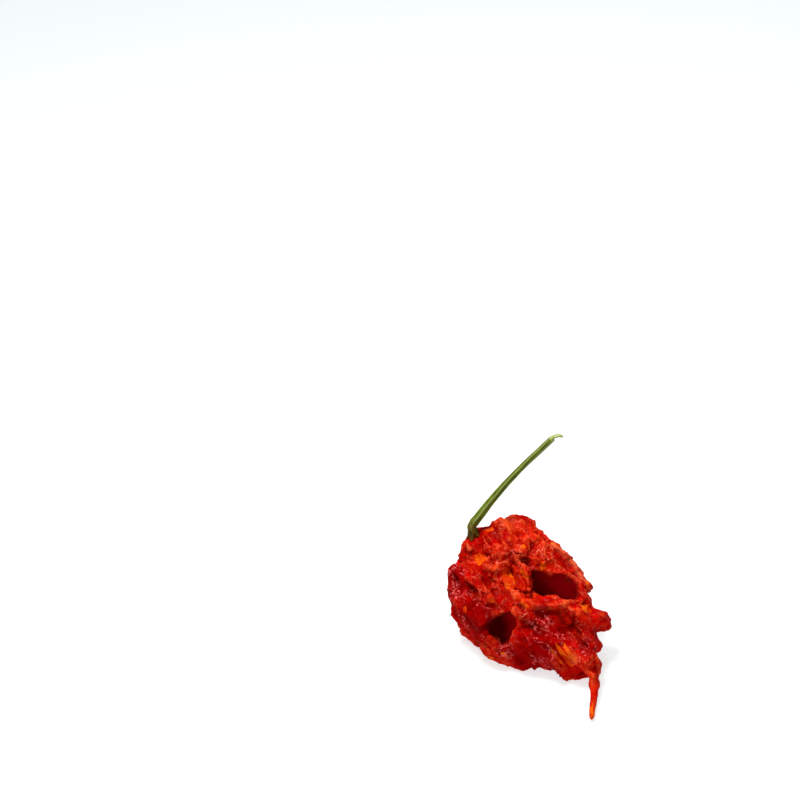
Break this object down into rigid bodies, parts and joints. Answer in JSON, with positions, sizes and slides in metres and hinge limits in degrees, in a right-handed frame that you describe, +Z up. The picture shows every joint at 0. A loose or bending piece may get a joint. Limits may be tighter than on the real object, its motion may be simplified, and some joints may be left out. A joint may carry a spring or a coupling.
{
  "type": "dried superhot chilli pod",
  "caption": "Dried, crumpled red chilli pod with deep folds, a pointed tail and a long curved green stem, lying on its side.",
  "frame": {"origin": "under the middle of the whole object, on the surface that the pod rests on", "axes": "+Z up; +Y from the tail end towards the crown end, along the longest extent; +X to the right, seen from the side of the two open folds, along the shortest extent"},
  "size_m": [0.0436, 0.0598, 0.0537],
  "materials": {
    "pod_skin": "waxy semi-gloss dried skin, wrinkled, orange-red on its crests and dark red in its folds",
    "calyx": "dull olive brown, dried and papery",
    "stem": "satin olive green with pale ridges along it"
  },
  "bodies": {
    "root": {"pod": "pod_skin", "calyx": "calyx", "stem": "stem"}
  },
  "joints": []
}
